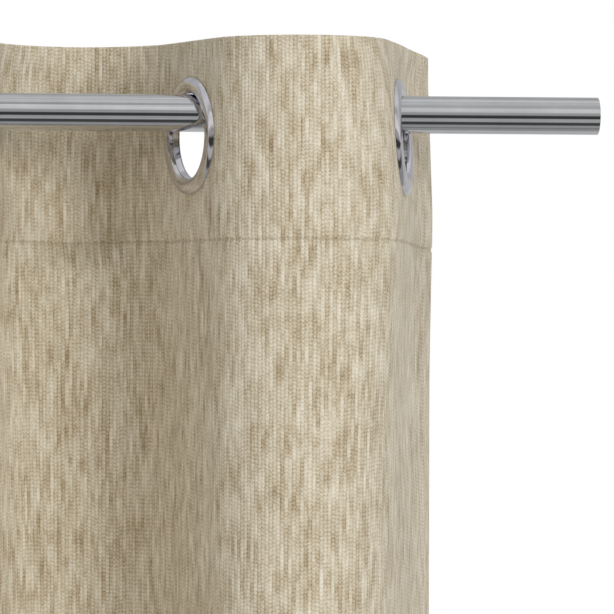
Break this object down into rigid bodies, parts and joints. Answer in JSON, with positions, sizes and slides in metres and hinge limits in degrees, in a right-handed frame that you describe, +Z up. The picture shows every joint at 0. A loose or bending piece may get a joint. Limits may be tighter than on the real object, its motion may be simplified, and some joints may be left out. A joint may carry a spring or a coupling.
{
  "type": "eyelet curtain on a rod",
  "caption": "Beige woven eyelet curtain that hangs in soft S-shaped pleats from a round polished steel rod on two wall brackets.",
  "frame": {"origin": "centre of the right bracket's wall plate, on the wall face", "axes": "+X along the rod to the right as seen from the room, +Y into the wall, +Z up; the curtain hangs at -Y of the wall"},
  "size_m": [1.2, 0.1912, 2.45],
  "materials": {
    "polished_steel": "polished, with fine lines drawn along the tube",
    "eyelet_metal": "smooth polished nickel",
    "satin_steel": "satin",
    "zinc_screw": "bright zinc",
    "grey_plastic": "fine matt",
    "curtain_cloth": "ribbed melange weave, matt"
  },
  "bodies": {
    "rod_and_brackets": {"rod_tube": "polished_steel", "arm_left": "satin_steel", "arm_right": "satin_steel", "cover_left": "satin_steel", "cover_right": "satin_steel", "cradle_left": "satin_steel", "cradle_right": "satin_steel", "plate_left": "satin_steel", "plate_right": "satin_steel", "rod_plug_left": "grey_plastic", "rod_plug_right": "grey_plastic", "thumb_screw_left": "polished_steel", "thumb_screw_right": "polished_steel", "wall_screw_left_bottom": "zinc_screw", "wall_screw_left_top": "zinc_screw", "wall_screw_right_bottom": "zinc_screw", "wall_screw_right_top": "zinc_screw"},
    "pleat_1": {"curtain_pleat_1": "curtain_cloth", "eyelet_front_1": "eyelet_metal", "eyelet_back_1": "eyelet_metal"},
    "pleat_2": {"curtain_pleat_2": "curtain_cloth", "eyelet_front_2": "eyelet_metal", "eyelet_back_2": "eyelet_metal"},
    "pleat_3": {"curtain_pleat_3": "curtain_cloth", "eyelet_front_3": "eyelet_metal", "eyelet_back_3": "eyelet_metal"},
    "pleat_4": {"curtain_pleat_4": "curtain_cloth", "eyelet_front_4": "eyelet_metal", "eyelet_back_4": "eyelet_metal"},
    "pleat_5": {"curtain_pleat_5": "curtain_cloth", "eyelet_front_5": "eyelet_metal", "eyelet_back_5": "eyelet_metal"},
    "pleat_6": {"curtain_pleat_6": "curtain_cloth", "eyelet_front_6": "eyelet_metal", "eyelet_back_6": "eyelet_metal"},
    "pleat_7": {"curtain_pleat_7": "curtain_cloth", "eyelet_front_7": "eyelet_metal", "eyelet_back_7": "eyelet_metal"},
    "pleat_8": {"curtain_pleat_8": "curtain_cloth", "eyelet_front_8": "eyelet_metal", "eyelet_back_8": "eyelet_metal"}
  },
  "joints": [
    {"name": "curtain_draw", "type": "hinge", "parent": "rod_and_brackets", "child": "pleat_8", "pos_m": [0.023, -0.1, -0.0115], "axis": [0, 0, 1], "range_deg": [-15, 26]},
    {"name": "fold_7", "type": "hinge", "parent": "pleat_8", "child": "pleat_7", "pos_m": [-0.02979, -0.16015, -0.0115], "axis": [0, 0, 1], "range_deg": [-53, 31]},
    {"name": "fold_6", "type": "hinge", "parent": "pleat_7", "child": "pleat_6", "pos_m": [-0.13536, -0.03985, -0.0115], "axis": [0, 0, 1], "range_deg": [-31, 53]},
    {"name": "fold_5", "type": "hinge", "parent": "pleat_6", "child": "pleat_5", "pos_m": [-0.24094, -0.16015, -0.0115], "axis": [0, 0, 1], "range_deg": [-53, 31]},
    {"name": "fold_4", "type": "hinge", "parent": "pleat_5", "child": "pleat_4", "pos_m": [-0.34652, -0.03985, -0.0115], "axis": [0, 0, 1], "range_deg": [-31, 53]},
    {"name": "fold_3", "type": "hinge", "parent": "pleat_4", "child": "pleat_3", "pos_m": [-0.45209, -0.16015, -0.0115], "axis": [0, 0, 1], "range_deg": [-53, 31]},
    {"name": "fold_2", "type": "hinge", "parent": "pleat_3", "child": "pleat_2", "pos_m": [-0.55767, -0.03985, -0.0115], "axis": [0, 0, 1], "range_deg": [-31, 53]},
    {"name": "fold_1", "type": "hinge", "parent": "pleat_2", "child": "pleat_1", "pos_m": [-0.66324, -0.16015, -0.0115], "axis": [0, 0, 1], "range_deg": [-53, 31]}
  ],
  "couplings": [
    {"joint": "fold_7", "follows": "curtain_draw", "ratio": -2},
    {"joint": "fold_6", "follows": "curtain_draw", "ratio": 2},
    {"joint": "fold_5", "follows": "curtain_draw", "ratio": -2},
    {"joint": "fold_4", "follows": "curtain_draw", "ratio": 2},
    {"joint": "fold_3", "follows": "curtain_draw", "ratio": -2},
    {"joint": "fold_2", "follows": "curtain_draw", "ratio": 2},
    {"joint": "fold_1", "follows": "curtain_draw", "ratio": -2}
  ]
}
